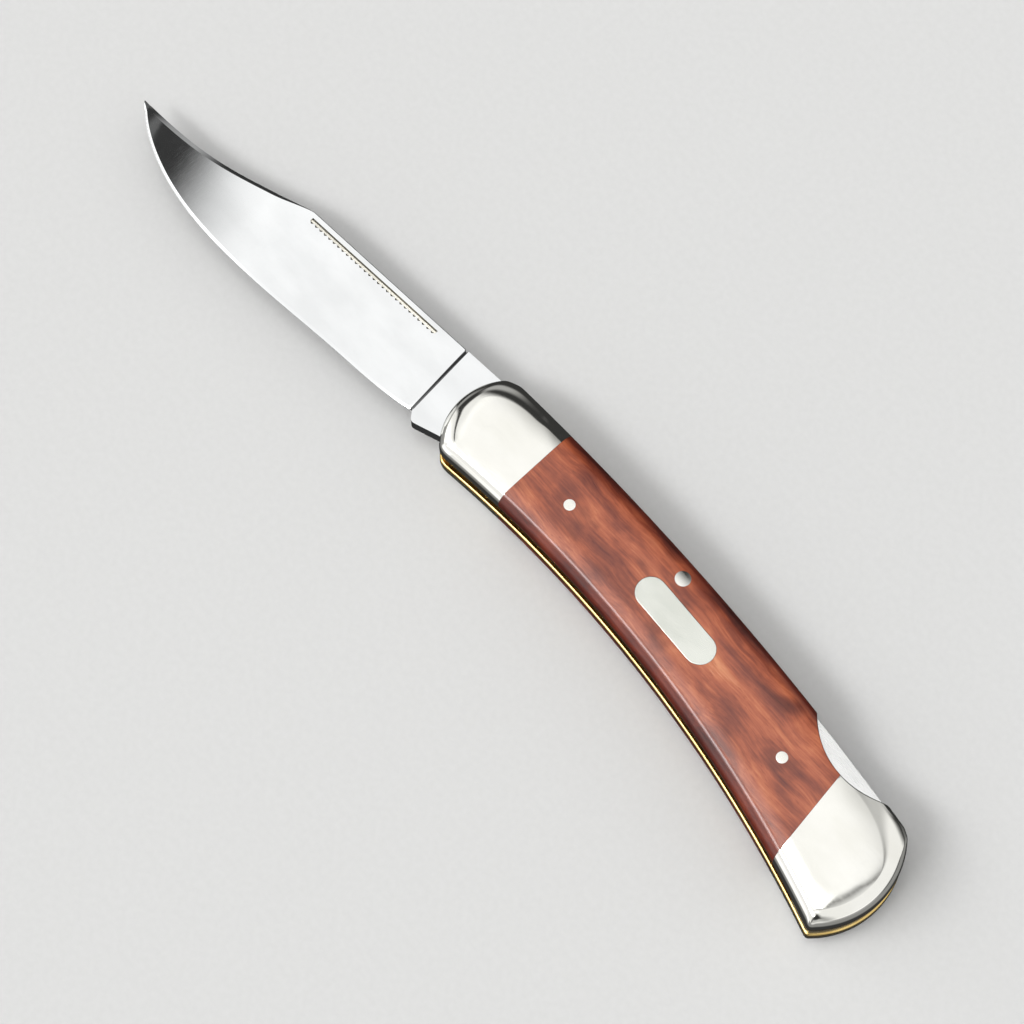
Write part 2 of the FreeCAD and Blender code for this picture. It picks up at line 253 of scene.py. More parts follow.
# Which spots lie inside an odd number of the loops
def inside(loops, spots):
    odd = np.zeros(len(spots), bool)
    for loop in loops:
        for (x1, y1), (x2, y2) in zip(loop, np.roll(loop, -1, axis=0)):
            if y1 == y2:
                continue
            crosses = (y1 > spots[:, 1]) != (y2 > spots[:, 1])
            odd ^= crosses & (spots[:, 0] < x1 + (spots[:, 1] - y1) * (x2 - x1) / (y2 - y1))
    return odd


# Triangles between all the given spots that keep the given edges
def triangulate(spots, edges):
    made = delaunay_2d_cdt([Vector(spot) for spot in spots], edges, [], 0, same_place, True)
    new_spots = np.array(
        [tuple(spots[origins[0]] if origins else spot) for spot, origins in zip(made[0], made[3])]
    )
    triangles = np.array(made[2])
    a, b, c = (new_spots[triangles[:, corner]] for corner in range(3))
    turn = (b[:, 0] - a[:, 0]) * (c[:, 1] - a[:, 1]) - (b[:, 1] - a[:, 1]) * (c[:, 0] - a[:, 0])
    return new_spots, triangles if turn.sum() > 0 else triangles[:, ::-1]


# How wide each triangle is, measured square to its longest side
def triangle_widths(spots, triangles):
    sides = [spots[triangles[:, (corner + 1) % 3]] - spots[triangles[:, corner]] for corner in range(3)]
    longest = np.max([np.linalg.norm(side, axis=1) for side in sides], axis=0)
    return np.abs(sides[0][:, 0] * sides[1][:, 1] - sides[0][:, 1] * sides[1][:, 0]) / longest


# Adds a closed loop of spots to a plan, with the edges that its triangles have to keep
def add_loop(spots, edges, loop):
    first, count = len(spots), len(loop)
    spots.extend(loop)
    edges.extend((first + step, first + (step + 1) % count) for step in range(count))


# Outward normals at both ends of every edge of a loop, shared where the loop turns gently
def side_normals(loop):
    runs = np.roll(loop, -1, axis=0) - loop
    own = np.stack((runs[:, 1], -runs[:, 0]), axis=-1)
    own /= np.linalg.norm(own, axis=1)[:, None]
    before = np.roll(own, 1, axis=0)
    shared = own + before
    shared /= np.linalg.norm(shared, axis=1)[:, None]
    gentle = np.sum(own * before, axis=1) > math.cos(gentle_turn)
    at_start = np.where(gentle[:, None], shared, own)
    gentle_end = np.roll(gentle, -1)
    at_end = np.where(gentle_end[:, None], np.roll(shared, -1, axis=0), own)
    mitre = (own + before) / np.maximum(1 + np.sum(own * before, axis=1), sharpest_mitre)[:, None]
    return at_start, at_end, mitre


# A piece from its corners and faces, with a normal for each corner of each face
def finish_mesh(name, verts, faces, normals, materials, finishes=None):
    mesh = bpy.data.meshes.new(name)
    mesh.from_pydata(verts, [], faces)
    mesh.polygons.foreach_set("use_smooth", [True] * len(faces))
    for material in materials:
        mesh.materials.append(material)
    if finishes:
        mesh.polygons.foreach_set("material_index", finishes)
    mesh.normals_split_custom_set([Vector(normal).normalized() for normal in normals])
    piece = bpy.data.objects.new(name, mesh)
    bpy.context.scene.collection.objects.link(piece)
    return piece


break_turns = (90, 68, 45, 22, 0, 0, -22, -45, -68, -90)
break_ways = [(math.cos(math.radians(turn)), math.sin(math.radians(turn))) for turn in break_turns]


# A flat plate with rounded edges, from loops that keep the material to their left
def rounded_plate(name, loops, floor, roof, floor_break, roof_break, material):
    verts, faces, normals = [], [], []
    rings = len(break_ways)
    for loop in loops:
        at_start, at_end, mitre = side_normals(loop)
        first = len(verts)
        count = len(loop)
        for ring, (out, up) in enumerate(break_ways):
            edge_break = roof_break if ring < rings / 2 else floor_break
            level = roof - edge_break * (1 - up) if ring < rings / 2 else floor + edge_break * (1 + up)
            places = loop - mitre * edge_break * (1 - out)
            verts += [(x, y, level) for x, y in places]
        for step in range(count):
            after = (step + 1) % count
            for ring in range(rings - 1):
                upper, lower = first + ring * count, first + (ring + 1) * count
                faces.append((upper + step, lower + step, lower + after, upper + after))
                over, under = break_ways[ring : ring + 2]
                for end, (out, up) in zip((at_start, at_start, at_end, at_end), (over, under, under, over)):
                    normals.append((end[step][0] * out, end[step][1] * out, up))
    place_of = {}
    for index, vert in enumerate(verts):
        place_of[tuple(round(value / same_place) for value in vert)] = index
    for level, up, edge_break in ((roof, 1, roof_break), (floor, -1, floor_break)):
        cap_loops = [loop - side_normals(loop)[2] * edge_break for loop in loops]
        cap_spots, cap_edges, numbers = [], [], []
        for loop in cap_loops:
            add_loop(cap_spots, cap_edges, loop)
        spots, triangles = triangulate(cap_spots, cap_edges)
        triangles = triangles[inside(cap_loops, spots[triangles].mean(axis=1))]
        triangles = triangles[triangle_widths(spots, triangles) > same_place]
        for x, y in spots:
            key = tuple(round(value / same_place) for value in (x, y, level))
            if key not in place_of:
                place_of[key] = len(verts)
                verts.append((x, y, level))
            numbers.append(place_of[key])
        for triangle in triangles:
            corners = [numbers[corner] for corner in triangle[::up]]
            if len(set(corners)) == 3:
                faces.append(corners)
                normals += [(0, 0, up)] * 3
    return finish_mesh(name, verts, faces, normals, [material])


def node_material(name):
    material = bpy.data.materials.new(name)
    material.use_nodes = True
    tree = material.node_tree
    return material, tree, tree.nodes["Principled BSDF"]


def add_node(tree, kind, **settings):
    node = tree.nodes.new(kind)
    for key, value in settings.items():
        socket = key.replace("_", " ").title()
        if socket in node.inputs:
            node.inputs[socket].default_value = value
        else:
            setattr(node, key, value)
    return node


millimetres_per_metre = 1000


# Noise over the piece in its own millimetres, stretched by the given counts of waves per millimetre
def surface_noise(tree, waves, detail, roughness=0.5, warp=None):
    place = warp or add_node(tree, "ShaderNodeTexCoord").outputs["Object"]
    mapping = add_node(tree, "ShaderNodeMapping", scale=[millimetres_per_metre * wave for wave in waves])
    noise = add_node(tree, "ShaderNodeTexNoise", scale=1.0, detail=detail, roughness=roughness)
    tree.links.new(place, mapping.inputs["Vector"])
    tree.links.new(mapping.outputs["Vector"], noise.inputs["Vector"])
    return noise.outputs["Fac"]


# Colours along a source, from stops of a place and a colour
def ramp(tree, source, stops):
    node = add_node(tree, "ShaderNodeValToRGB")
    elements = node.color_ramp.elements
    while len(elements) < len(stops):
        elements.new(0.5)
    for element, (place, colour) in zip(elements, stops):
        element.position = place
        element.color = (*colour, 1.0)
    tree.links.new(source, node.inputs["Fac"])
    return node.outputs["Color"]


# A source's range spread over another, and held at its ends
def spread(tree, source, low, high, source_low=0.3, source_high=0.7):
    node = add_node(tree, "ShaderNodeMapRange")
    for key, value in (
        ("From Min", source_low),
        ("From Max", source_high),
        ("To Min", low),
        ("To Max", high),
    ):
        node.inputs[key].default_value = value
    tree.links.new(source, node.inputs["Value"])
    return node.outputs["Result"]


def add_bump(tree, shader, source, strength, distance):
    node = add_node(tree, "ShaderNodeBump", strength=strength, distance=distance)
    tree.links.new(source, node.inputs["Height"])
    tree.links.new(node.outputs["Normal"], shader.inputs["Normal"])


metal_cloud_waves = (0.08, 0.16, 0.16)
metal_cloud_stops = (0.35, 0.65)


# A polished or brushed metal: slight clouding of its colour, and fine lines in its gloss
def metal(name, dark, light, rough_low, rough_high, line_waves, line_depth):
    material, tree, shader = node_material(name)
    shader.inputs["Metallic"].default_value = 1.0
    cloud = surface_noise(tree, metal_cloud_waves, detail=3)
    colour = ramp(tree, cloud, list(zip(metal_cloud_stops, (dark, light))))
    tree.links.new(colour, shader.inputs["Base Color"])
    lines = surface_noise(tree, line_waves, detail=4, roughness=0.6)
    tree.links.new(spread(tree, lines, rough_low, rough_high), shader.inputs["Roughness"])
    add_bump(tree, shader, lines, strength=1.0, distance=line_depth)
    return material


liner_slot_break = 0.00040
liner_outer_break = 0.00004
brass = metal(
    "polished_brass",
    dark=(0.66, 0.46, 0.16),
    light=(0.82, 0.60, 0.24),
    rough_low=0.12,
    rough_high=0.20,
    line_waves=(0.4, 6, 6),
    line_depth=3e-8,
)

for side in ("upper", "lower"):
    liner_low, liner_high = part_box("liner_" + side)
    loops = [ground_level(loop) for loop in face_loops("liner_" + side)]
    breaks = [liner_slot_break, liner_outer_break]
    if side == "lower":
        breaks.reverse()
    liner = rounded_plate("brass_liner_" + side, loops, liner_low.z, liner_high.z, *breaks, brass)
    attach(liner, "handle")
    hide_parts("liner_" + side)


# Front and rear bolsters and wooden scales: each side of the handle is ground as one soft, pillowed face.
# The bolsters are nickel silver riveted and soldered to the liners; the scales are oiled burl wood,
# fitted hairline tight between them, pinned and polished level with the metal.
joint_gap = 0.00003
crown_depth = 0.00045
rim_part_share = 0.47
rim_depth = 0.00255
scallop_break = 0.00025
scallop_break_depth = 0.0002
rim_turns = (0, 8, 16, 24, 32, 40, 48, 56, 64, 72, 81, 90)
crown_rows = 6
upright_limit = 1e-8
outline_spacing = 0.0006
outline_least_spacing = outline_spacing / 3
row_least_spacing = outline_spacing / 5
scallop_spacing = 0.0003
scallop_turns = (0, 22, 44, 66, 90)
scallop_outer_shares = (1.5, 2.5)
scallop_clear_share = 3.0
scallop_overrun_share = 0.5
joint_probe_run = (-0.5 * handle_height, 1.5 * handle_height)
joint_probes = 2000
joint_overrun_share = 0.3
face_spacing = 0.0018
outline_share = 0.001
sliver_width = 0.000001
pin_hole_steps = 40

face_level = cad_box[1].z
handle_middle = (cad_box[0].z + cad_box[1].z) / 2
scallop_centre, scallop_radius = circle_through(("scallop_front", "scallop_low", "scallop_rear"))


# Distance of a spot from the scallop's arc, as a share of the eased edge: 0 on the arc
def scallop_share(spots):
    return (np.linalg.norm(spots - scallop_centre, axis=-1) - scallop_radius) / scallop_break


# Height of the handle's upper face over its plan, and the way that face looks there: a faint crown
# that ends in a round rim, and an eased edge along the scallop
def handle_face(spots):
    crown = np.clip(1 - rim_share(spots), 0, 1)
    height = face_level - crown_depth * crown ** 2
    lean = -2 * crown_depth * crown[:, None] * slope_of(rim_share, spots)
    rounded = (
        (rim_share, rim_part_share, rim_depth),
        (scallop_share, 1.0, scallop_break_depth),
    )
    for field, part, depth in rounded:
        fall = np.clip(1 - field(spots) / part, 0, 1)
        level = np.sqrt(np.clip(1 - fall ** 2, upright_limit, 1))
        height -= depth * (1 - level)
        lean -= (depth / part * fall / level)[:, None] * slope_of(field, spots)
    normals = np.concatenate((lean, np.ones((len(spots), 1))), axis=1)
    return height, normals


def flat_face(level, up):
    def face(spots):
        return np.full(len(spots), level), np.tile((0.0, 0.0, up), (len(spots), 1))

    return face


# The same face turned over, for the far side of the handle
def turned_over(face):
    def other_face(spots):
        height, normals = face(spots)
        return 2 * handle_middle - height, normals * (1, 1, -1)

    return other_face


# A solid between two faces over one plan of triangles; a step between two regions becomes a wall
def stepped_solid(name, spots, triangles, regions, faces_of, materials, finish_of=None):
    verts, faces, normals, finishes, numbers = [], [], [], [], {}
    surfaces = {region: [face(spots) for face in faces_of(region)] for region in set(regions)}

    def vertex(spot, height):
        key = (spot, round(height / same_place))
        if key not in numbers:
            numbers[key] = len(verts)
            verts.append((*spots[spot], height))
        return numbers[key]

    def add_face(corners, region):
        kept = []
        for spot, height, normal in corners:
            number = vertex(spot, height)
            if number not in [other for other, _ in kept]:
                kept.append((number, normal))
        if len(kept) > 2:
            faces.append([number for number, _ in kept])
            normals.extend(normal for _, normal in kept)
            finishes.append(finish_of[region] if finish_of else 0)

    edges, levels = {}, {}
    for triangle, region in zip(triangles, regions):
        upper, lower = surfaces[region]
        add_face([(spot, upper[0][spot], upper[1][spot]) for spot in triangle], region)
        add_face([(spot, lower[0][spot], lower[1][spot]) for spot in triangle[::-1]], region)
        for start, end in zip(triangle, np.roll(triangle, -1)):
            edges[(start, end)] = region
            levels.setdefault(start, set()).update((upper[0][start], lower[0][start]))

    # One upright side of a wall, with a corner at every level that another face has there
    def upright(spot, first, last, normal):
        low, high = min(first, last), max(first, last)
        between = sorted((level for level in levels[spot] if low < level < high), reverse=bool(first > last))
        return [(spot, level, normal) for level in (first, *between, last)]

    rim = {}
    for start, end in edges:
        if (end, start) not in edges:
            rim.setdefault(start, []).append(end)
    while rim:
        start = place = next(iter(rim))
        loop = []
        while not loop or place != start:
            loop.append(place)
            ends = rim[place]
            following = ends.pop()
            if not ends:
                del rim[place]
            place = following
        at_start, at_end, _ = side_normals(spots[loop])
        for step, spot in enumerate(loop):
            after = loop[(step + 1) % len(loop)]
            region = edges[(spot, after)]
            upper, lower = surfaces[region]
            first, last = (*at_start[step], 0.0), (*at_end[step], 0.0)
            corners = upright(spot, upper[0][spot], lower[0][spot], first)
            corners += upright(after, lower[0][after], upper[0][after], last)
            add_face(corners, region)
    for (start, end), region in edges.items():
        other = edges.get((end, start), region)
        if other == region:
            continue
        run = spots[end] - spots[start]
        out = (run[1], -run[0], 0.0)
        for mine, theirs, side in zip(surfaces[region], surfaces[other], (1, -1)):
            if (mine[0][start] + mine[0][end] - theirs[0][start] - theirs[0][end]) * side <= 0:
                continue
            corners = upright(start, mine[0][start], theirs[0][start], out)
            corners += upright(end, theirs[0][end], mine[0][end], out)
            add_face(corners[::side], other)
    return finish_mesh(name, verts, faces, normals, materials, finishes)


def ways_at(turns):
    return np.stack((np.cos(turns), np.sin(turns)), axis=-1)


def circle_spots(centre, radius, steps):
    return np.array(centre) + radius * ways_at(np.arange(steps) * 2 * math.pi / steps)


# Centre and radius of a round piece, seen from above
def node_centre(node):
    low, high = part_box(node)
    return np.array(((low.x + high.x) / 2, (low.y + high.y) / 2)), (high.x - low.x) / 2


# A joint between bolster and scale: its end at the back, the way along it, and the way across to the butt
def joint_line(name):
    back, belly = handle_place(name + "_joint_back"), handle_place(name + "_joint_belly")
    along = (belly - back) / np.linalg.norm(belly - back)
    toward_butt = np.array((-along[1], along[0]))
    return back, along, toward_butt if toward_butt[0] > 0 else -toward_butt


def beyond_joint(name, spots):
    back, _, toward_butt = joint_line(name)
    return (spots - back) @ toward_butt


outline_spots = []
for places in outline_arcs.values():
    start, through, end = (handle_place(name) for name in places)
    centre, radius = circle_through(places)
    first, middle_turn, last = (math.atan2(*(place - centre)[::-1]) for place in (start, through, end))
    arc_turn = (last - first) % (2 * math.pi)
    if (middle_turn - first) % (2 * math.pi) > arc_turn:
        arc_turn -= 2 * math.pi
    steps = math.ceil(abs(arc_turn) * radius / outline_spacing)
    for step in range(steps):
        turn = first + arc_turn * step / steps
        outline_spots.append(centre + radius * np.array((math.cos(turn), math.sin(turn))))
outline = evened(settle(np.array(outline_spots), 0.0), outline_least_spacing, outline_spacing)

through_holes = ["pivot_pin", "lock_bar_pin"]
side_holes = ["scale_pin_front_upper", "scale_pin_rear_upper"]
rivet_circles = []
for loop in face_loops("rear_rivets"):
    centre = (loop.min(axis=0) + loop.max(axis=0)) / 2
    rivet_circles.append((centre, np.linalg.norm(loop - centre, axis=1).max()))
hole_circles = [node_centre(node) for node in through_holes + side_holes] + rivet_circles

shield_low, shield_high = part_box("shield")
shield_loop = evened(face_loops("shield")[0], shortest_step, longest_step)


# Adds an open line of spots to a plan, with the edges that its triangles have to keep
def add_line(spots, edges, places):
    first = len(spots)
    spots.extend(places)
    edges.extend((first + step, first + step + 1) for step in range(len(places) - 1))


# Plan of one side of the handle: rows of spots down the rim, the joints, the scallop and the pin holes
def handle_plan(inlay):
    spots, edges = [], []
    add_loop(spots, edges, outline)
    row = outline
    shares = [rim_part_share * (1 - math.cos(math.radians(turn))) for turn in rim_turns[1:]]
    shares += list(np.linspace(rim_part_share, 1, crown_rows + 1)[1:])
    for share in shares:
        row = evened(settle(row, share), row_least_spacing, handle_length)
        spots += list(row[scallop_share(row) > scallop_clear_share])
    low, high = outline.min(axis=0), outline.max(axis=0)
    across = np.arange(low[1], high[1], face_spacing)
    along = np.arange(low[0], high[0], face_spacing)
    grid = np.array([(x, y) for x in along for y in across])
    grid = grid[rim_share(grid) > 1.0 + face_spacing / rim_runs["nose"] / 2]
    spots += list(grid[scallop_share(grid) > scallop_clear_share])

    for name in ("front", "rear"):
        back, along_joint, toward_butt = joint_line(name)
        for side in (-1, 1):
            start = back + toward_butt * side * joint_gap / 2
            reach = np.linspace(*joint_probe_run, joint_probes)
            inset = rim_share(start + along_joint * reach[:, None])
            top = int(np.argmax(inset))
            rows = np.array([-joint_overrun_share, 0.0] + shares)
            from_back = np.interp(rows, inset[:top], reach[:top])
            from_belly = np.interp(rows, inset[top:][::-1], reach[top:][::-1])
            middle = np.arange(from_back[-1] + outline_spacing, from_belly[-1], outline_spacing)
            stops = np.concatenate((from_back, middle, from_belly[::-1]))
            add_line(spots, edges, start + along_joint * stops[:, None])
    turns = np.linspace(-math.pi, 0, math.ceil(math.pi * scallop_radius / scallop_spacing))
    breaks = [1 - math.cos(math.radians(turn)) for turn in scallop_turns]
    for share in [*breaks, *scallop_outer_shares]:
        radius = scallop_radius + scallop_break * share
        arc = scallop_centre + radius * ways_at(turns)
        arc = arc[rim_share(arc) > -scallop_overrun_share]
        if share == 0:
            add_line(spots, edges, arc)
        else:
            spots.extend(arc)
    loops = [circle_spots(centre, radius, pin_hole_steps) for centre, radius in hole_circles]
    for loop in loops + inlay:
        add_loop(spots, edges, loop)
    spots, triangles = triangulate(spots, edges)
    middles = spots[triangles].mean(axis=1)
    keep = inside([outline] + loops + inlay, middles) & (scallop_share(middles) > 0)
    on_outline = (rim_share(spots) < outline_share)[triangles].all(axis=1)
    keep &= ~on_outline | (triangle_widths(spots, triangles) > sliver_width)
    front, rear = beyond_joint("front", middles), beyond_joint("rear", middles)
    parts = {
        "front_bolster": keep & (front < -joint_gap / 2),
        "scale": keep & (front > joint_gap / 2) & (rear < -joint_gap / 2),
        "rear_bolster": keep & (rear > joint_gap / 2),
    }
    return spots, {name: triangles[chosen] for name, chosen in parts.items()}


nickel_silver = metal(
    "polished_nickel_silver",
    dark=(0.84, 0.83, 0.77),
    light=(0.90, 0.89, 0.84),
    rough_low=0.05,
    rough_high=0.11,
    line_waves=(0.5, 5, 5),
    line_depth=1.5e-7,
)


noise_middle = (0.5, 0.5, 0.5)
burl_drift_waves = 55.0
burl_drift_reach = 0.004
burl_cloud_waves = (0.080, 0.16, 0.16)
burl_streak_waves = (0.022, 0.50, 0.50)
burl_fibre_waves = (0.11, 2.6, 2.6)
burl_knot_waves = (0.09, 0.17, 0.17)
burl_pore_waves = (0.45, 7.0, 7.0)
streak_weight = 0.36
fibre_weight = 0.20
burl_colours = [
    (0.36, (0.080, 0.011, 0.004)),
    (0.45, (0.175, 0.033, 0.012)),
    (0.52, (0.285, 0.064, 0.023)),
    (0.58, (0.385, 0.104, 0.040)),
    (0.66, (0.500, 0.190, 0.085)),
]
knot_tint = (0.34, 0.22, 0.20)
pore_tint = (0.40, 0.26, 0.22)
# Colour of the painted shade on the rounded rim of the wood
painted_rim_shade_tint = (0.36, 0.15, 0.10)
oil_skin = {"Specular IOR Level": 0.15, "Coat Weight": 0.8, "Coat Roughness": 0.25, "Coat IOR": 1.60}

# Places of a Mix node's sockets: its factor, then the pair and the result for numbers and for colours
mix_factor = 0
mix_numbers, mix_number_result = (2, 3), 0
mix_colours, mix_colour_result = (6, 7), 2


# Oiled burl: soft clouds and long streaks bent by a slow drift, dark knots, fine pores,
# painted shade that turns the rounded rim darker and deeper red where it falls away from the flat face, and a
# thin polished skin
def burl_wood():
    material, tree, shader = node_material("oiled_burl_wood")
    place = add_node(tree, "ShaderNodeTexCoord")
    drift = add_node(tree, "ShaderNodeTexNoise", scale=burl_drift_waves, detail=2.0)
    tree.links.new(place.outputs["Object"], drift.inputs["Vector"])
    centred = add_node(tree, "ShaderNodeVectorMath", operation="SUBTRACT")
    centred.inputs[1].default_value = noise_middle
    tree.links.new(drift.outputs["Color"], centred.inputs[0])
    bend = add_node(tree, "ShaderNodeVectorMath", operation="SCALE", scale=burl_drift_reach)
    tree.links.new(centred.outputs["Vector"], bend.inputs[0])
    bent = add_node(tree, "ShaderNodeVectorMath", operation="ADD")
    tree.links.new(place.outputs["Object"], bent.inputs[0])
    tree.links.new(bend.outputs["Vector"], bent.inputs[1])
    warp = bent.outputs["Vector"]

    def weigh(first, second, share):
        node = add_node(tree, "ShaderNodeMix", data_type="FLOAT")
        node.inputs[mix_factor].default_value = share
        for socket, source in zip(mix_numbers, (first, second)):
            tree.links.new(source, node.inputs[socket])
        return node.outputs[mix_number_result]

    def shade(base, tint, blend):
        node = add_node(tree, "ShaderNodeMix", data_type="RGBA", blend_type="MULTIPLY")
        under, over = (node.inputs[socket] for socket in mix_colours)
        over.default_value = (*tint, 1.0)
        tree.links.new(blend, node.inputs[mix_factor])
        tree.links.new(base, under)
        return node.outputs[mix_colour_result]

    clouds = surface_noise(tree, burl_cloud_waves, detail=4, roughness=0.55, warp=warp)
    streaks = surface_noise(tree, burl_streak_waves, detail=5, roughness=0.55, warp=warp)
    fibres = surface_noise(tree, burl_fibre_waves, detail=3, roughness=0.6, warp=warp)
    figure = weigh(weigh(clouds, streaks, streak_weight), fibres, fibre_weight)
    colour = ramp(tree, figure, burl_colours)
    knots = surface_noise(tree, burl_knot_waves, detail=2, warp=warp)
    knotted = spread(tree, knots, low=0.0, high=0.8, source_low=0.57, source_high=0.72)
    colour = shade(colour, knot_tint, knotted)
    pores = surface_noise(tree, burl_pore_waves, detail=2, warp=warp)
    open_pores = spread(tree, pores, low=0.0, high=0.6, source_low=0.60, source_high=0.74)
    colour = shade(colour, pore_tint, open_pores)
    # Painted shade: the wood turns darker and redder wherever its face leans away from flat, standing in for
    # the light the rounded rim misses
    facing = add_node(tree, "ShaderNodeSeparateXYZ")
    tree.links.new(place.outputs["Normal"], facing.inputs["Vector"])
    level = add_node(tree, "ShaderNodeMath", operation="ABSOLUTE")
    tree.links.new(facing.outputs["Z"], level.inputs[0])
    painted_rim_shade = spread(tree, level.outputs[0], low=0.95, high=0.0, source_low=0.76, source_high=0.995)
    colour = shade(colour, painted_rim_shade_tint, painted_rim_shade)
    tree.links.new(colour, shader.inputs["Base Color"])
    tree.links.new(spread(tree, fibres, low=0.34, high=0.46), shader.inputs["Roughness"])
    for socket, value in oil_skin.items():
        shader.inputs[socket].default_value = value
    return material


burl = burl_wood()
side_floors = {"upper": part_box("scale_upper")[0].z, "lower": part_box("scale_lower")[1].z}
part_looks = {
    "front_bolster": ("polished_front_bolster", nickel_silver, "nickel_silver"),
    "scale": ("burl_scale", burl, "wood"),
    "rear_bolster": ("polished_rear_bolster", nickel_silver, "nickel_silver"),
}
for side in ("upper", "lower"):
    if side == "upper":
        side_spots, side_parts = handle_plan([shield_loop])
        side_faces = (handle_face, flat_face(side_floors["upper"], -1.0))
    else:
        side_spots, side_parts = handle_plan([])
        side_faces = (flat_face(side_floors["lower"], 1.0), turned_over(handle_face))
    for part, triangles in side_parts.items():
        title, material, slot = part_looks[part]
        regions = [part] * len(triangles)
        piece = stepped_solid(
            f"{title}_{side}", side_spots, triangles, regions, {part: side_faces}.get, [material]
        )
        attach(piece, "handle")
        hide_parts(f"{part}_{side}")


# Front bolster rivets and shield pins: short drawn pins sunk in the bolsters and under the shield.
# They are cut from nickel-silver wire and peened over before the outer faces are ground.
def dress(node, material):
    nodes[node].data.materials.clear()
    nodes[node].data.materials.append(material)


for node in ("front_bolster_rivets_upper", "front_bolster_rivets_lower", "shield_pins"):
    dress(node, nickel_silver)


# Pins and rear rivets: drawn nickel-silver wire through the scales, lock bar, blade pivot and rear bolsters.
# Each is peened into a countersink and polished off level with the face that it holds;
# the pivot and the rear rivets all but vanish in the bolsters.
pin_rings = 6
pin_steps = pin_hole_steps
pin_crown = 0.00002
pin_fit = 0.000005


# Plan of a pin's end: rings of spots round its middle
def pin_plan(centre, radius):
    spots = [np.array(centre)]
    triangles = []
    for ring in range(1, pin_rings + 1):
        spots += list(circle_spots(centre, radius * ring / pin_rings, pin_steps))
    for step in range(pin_steps):
        after = (step + 1) % pin_steps
        triangles.append((0, 1 + step, 1 + after))
        for ring in range(pin_rings - 1):
            inner, outer = 1 + ring * pin_steps, 1 + (ring + 1) * pin_steps
            triangles.append((inner + step, outer + step, outer + after))
            triangles.append((inner + step, outer + after, inner + after))
    return np.array(spots), np.array(triangles)


# The handle's face with the pin standing up from it by a hair in the middle
def crowned_face(centre, radius, crown):
    def face(spots):
        height, normals = handle_face(spots)
        out = spots - centre
        share = np.sum(out ** 2, axis=1) / radius ** 2
        normals[:, :2] += 2 * crown / radius ** 2 * out
        return height + crown * (1 - share), normals

    return face


# A pin, or a pair of them, that follows the handle's face wherever it comes out of it
def level_pin(name, node, centres, radius, crown):
    low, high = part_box(node)
    hidden_reach = (face_level - handle_middle) / 2
    spots, triangles, regions, faces = [], [], [], {}
    for number, centre in enumerate(centres):
        own_spots, own_triangles = pin_plan(centre, radius - pin_fit)
        triangles += [tuple(corner + len(spots) for corner in triangle) for triangle in own_triangles]
        regions += [number] * len(own_triangles)
        spots += list(own_spots)
        crowned = crowned_face(centre, radius, crown)
        upper, lower = flat_face(high.z, 1.0), flat_face(low.z, -1.0)
        if high.z > handle_middle + hidden_reach:
            upper = crowned
        if low.z < handle_middle - hidden_reach:
            lower = turned_over(crowned)
        faces[number] = (upper, lower)
    piece = stepped_solid(
        name, np.array(spots), np.array(triangles), regions, faces.get, [nickel_silver]
    )
    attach(piece, "handle")
    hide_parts(node)


for place in ("front", "rear"):
    for side in ("upper", "lower"):
        node = f"scale_pin_{place}_{side}"
        centre, radius = node_centre(node)
        level_pin(f"polished_scale_pin_{place}_{side}", node, [centre], radius, pin_crown)
centre, radius = node_centre("lock_bar_pin")
level_pin("polished_lock_bar_pin", "lock_bar_pin", [centre], radius, pin_crown)
centre, radius = node_centre("pivot_pin")
level_pin("ground_pivot_pin", "pivot_pin", [centre], radius, 0.0)
rivet_centres = [centre for centre, _ in rivet_circles]
level_pin("ground_rear_rivets", "rear_rivets", rivet_centres, rivet_circles[0][1], 0.0)


# Shield: a small plate with two round ends, let into the upper scale flush with the wood.
# It is nickel silver, its edge eased and its face finished to a soft satin.
shield_edge_break = 0.00012
shield_satin = metal(
    "satin_shield",
    dark=(0.55, 0.56, 0.51),
    light=(0.64, 0.65, 0.60),
    rough_low=0.22,
    rough_high=0.26,
    line_waves=(0.3, 5, 5),
    line_depth=1e-8,
)
shield = rounded_plate(
    "satin_shield",
    [shield_loop],
    shield_low.z,
    shield_high.z,
    shield_edge_break,
    shield_edge_break,
    shield_satin,
)
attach(shield, "handle")
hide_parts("shield")


# Rear spacer: a steel block between the liners at the butt, slotted for the root of the lock spring.
# It is sawn from bar, riveted through and ground level with the handle's outline.
plate_edge_break = 0.00008
spacer_set_back_share = 0.06
satin_steel = metal(
    "satin_steel",
    dark=(0.60, 0.60, 0.59),
    light=(0.71, 0.71, 0.70),
    rough_low=0.22,
    rough_high=0.36,
    line_waves=(0.25, 7, 7),
    line_depth=6e-7,
)


def steel_plate(name, node, set_back=0.0):
    low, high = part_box(node)
    loops = [ground_level(loop, set_back) for loop in face_loops(node)]
    piece = rounded_plate(name, loops, low.z, high.z, plate_edge_break, plate_edge_break, satin_steel)
    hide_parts(node)
    return piece


spacer = steel_plate("ground_rear_spacer", "rear_spacer", spacer_set_back_share)
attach(spacer, "handle")


# Lock spring: a flat leaf of spring steel, riveted in the spacer with its tip under the lock bar's tail.
# It is hardened and tempered, stiff beside the spacer, and springy at its free end under the bar's tail; here
# it is drawn at rest.
spring = steel_plate("tempered_lock_spring", "lock_spring")
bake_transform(spring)


# Lock bar: a long steel rocker along the back, with a hook over the tang and its tail bare in the scallop.
# It is milled and hardened, and the bare tail is brushed along its length.
lock_bar = steel_plate("brushed_lock_bar", "lock_bar")
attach(lock_bar, "lock_bar")


